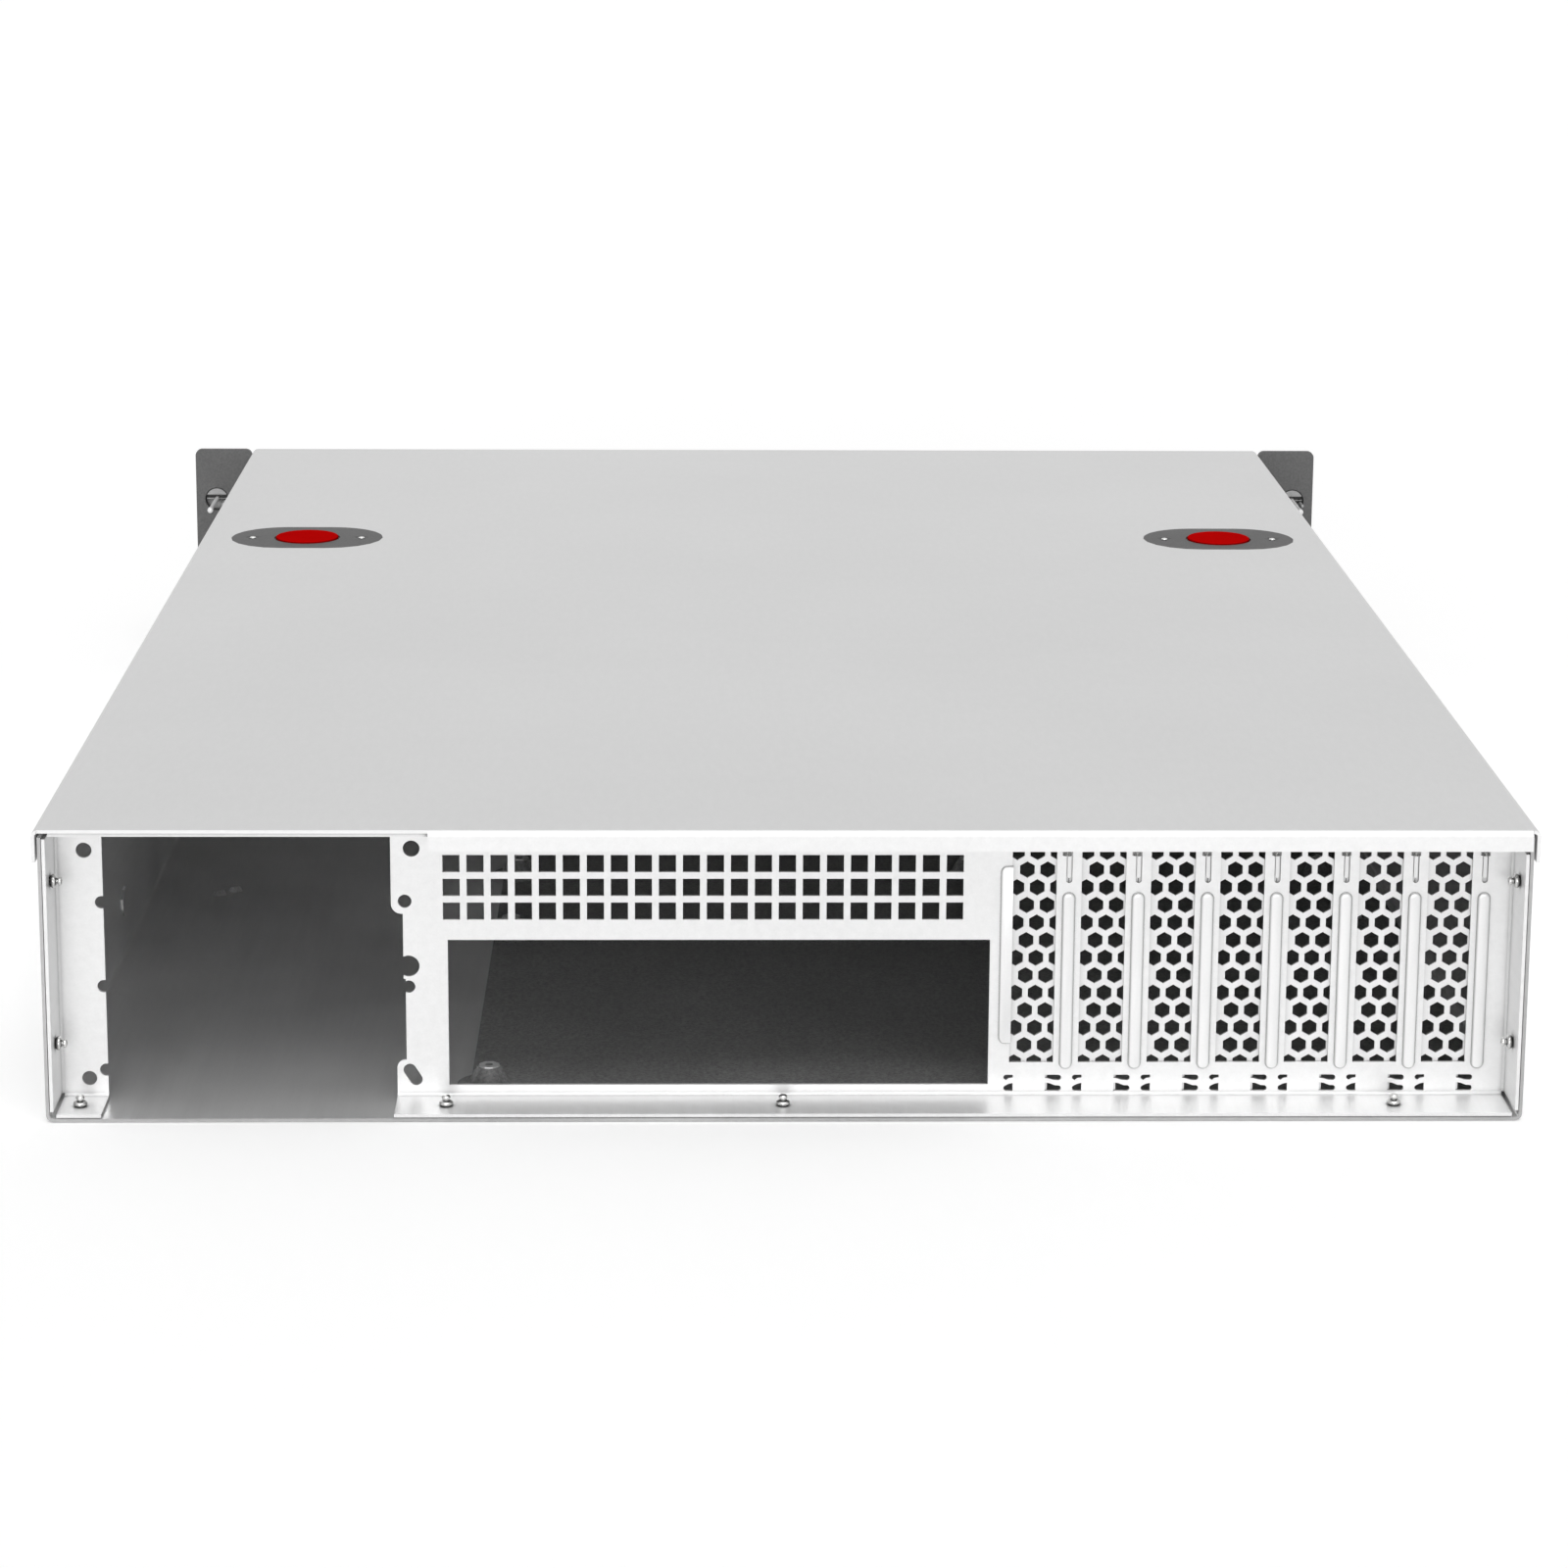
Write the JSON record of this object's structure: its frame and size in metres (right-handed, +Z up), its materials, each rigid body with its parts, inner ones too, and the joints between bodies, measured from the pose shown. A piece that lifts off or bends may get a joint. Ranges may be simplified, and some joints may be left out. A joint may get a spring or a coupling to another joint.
{
  "type": "empty rackmount server case",
  "caption": "Empty 2U sheet-metal rack case with a sliding top cover, two push-button releases, rack ears and a perforated rear panel.",
  "frame": {"origin": "middle of the underside, under the centre of the overall box", "axes": "+Y towards the rear of the case, +Z up, +X to the right of someone who faces the front"},
  "size_m": [0.4826, 0.6316, 0.0888],
  "materials": {
    "galvanised_sheet": "satin zinc-plated steel sheet",
    "slot_cover_sheet": "satin zinc-plated steel sheet",
    "cover_sheet": "matt zinc-plated steel sheet",
    "black_film": "matt plastic film",
    "zinc_fastener": "bright zinc",
    "spring_steel": "satin spring steel",
    "dark_paint": "dark grey powder coat",
    "dark_plate": "grey coated sheet",
    "red_plastic": "glossy moulded"
  },
  "bodies": {
    "chassis": {"base_tray": "galvanised_sheet", "insulation_film": "black_film", "rear_panel": "galvanised_sheet", "slot_cover_1": "slot_cover_sheet", "slot_cover_2": "slot_cover_sheet", "slot_cover_3": "slot_cover_sheet", "slot_cover_4": "slot_cover_sheet", "slot_cover_5": "slot_cover_sheet", "slot_cover_6": "slot_cover_sheet", "slot_cover_7": "slot_cover_sheet", "slot_cover_screws": "zinc_fastener", "rear_panel_rivets": "zinc_fastener", "front_panel": "dark_paint", "rack_ear_right": "dark_paint", "rack_ear_left": "dark_paint", "ear_screws": "zinc_fastener", "cross_brace": "galvanised_sheet"},
    "cover": {"top_cover": "cover_sheet", "latch_plate_right": "dark_plate", "latch_plate_left": "dark_plate", "latch_spring_right": "spring_steel", "latch_spring_left": "spring_steel", "latch_rivets": "zinc_fastener"},
    "release_button_right": {"release_button_right": "red_plastic"},
    "release_button_left": {"release_button_left": "red_plastic"},
    "rack_fastener_right_lower": {"rack_fastener_right_lower": "zinc_fastener"},
    "rack_fastener_right_upper": {"rack_fastener_right_upper": "zinc_fastener"},
    "rack_fastener_left_lower": {"rack_fastener_left_lower": "zinc_fastener"},
    "rack_fastener_left_upper": {"rack_fastener_left_upper": "zinc_fastener"}
  },
  "joints": [
    {"name": "cover_slide", "type": "slide", "parent": "chassis", "child": "cover", "axis": [0, 1, 0], "range_m": [0, 0.016]},
    {"name": "release_press_right", "type": "slide", "parent": "cover", "child": "release_button_right", "axis": [0, 0, -1], "range_m": [0, 0.0025], "stiffness_N_per_m": 1500, "springref_m": -0.0008, "deforming": ["latch_spring_right"]},
    {"name": "release_press_left", "type": "slide", "parent": "cover", "child": "release_button_left", "axis": [0, 0, -1], "range_m": [0, 0.0025], "stiffness_N_per_m": 1500, "springref_m": -0.0008, "deforming": ["latch_spring_left"]},
    {"name": "fastener_turn_right_lower", "type": "hinge", "parent": "chassis", "child": "rack_fastener_right_lower", "pos_m": [0.23255, -0.30425, 0.02177], "axis": [0, 1, 0], "continuous": true},
    {"name": "fastener_turn_right_upper", "type": "hinge", "parent": "chassis", "child": "rack_fastener_right_upper", "pos_m": [0.23255, -0.30425, 0.06623], "axis": [0, 1, 0], "continuous": true},
    {"name": "fastener_turn_left_lower", "type": "hinge", "parent": "chassis", "child": "rack_fastener_left_lower", "pos_m": [-0.23255, -0.30425, 0.02177], "axis": [0, 1, 0], "continuous": true},
    {"name": "fastener_turn_left_upper", "type": "hinge", "parent": "chassis", "child": "rack_fastener_left_upper", "pos_m": [-0.23255, -0.30425, 0.06623], "axis": [0, 1, 0], "continuous": true}
  ]
}
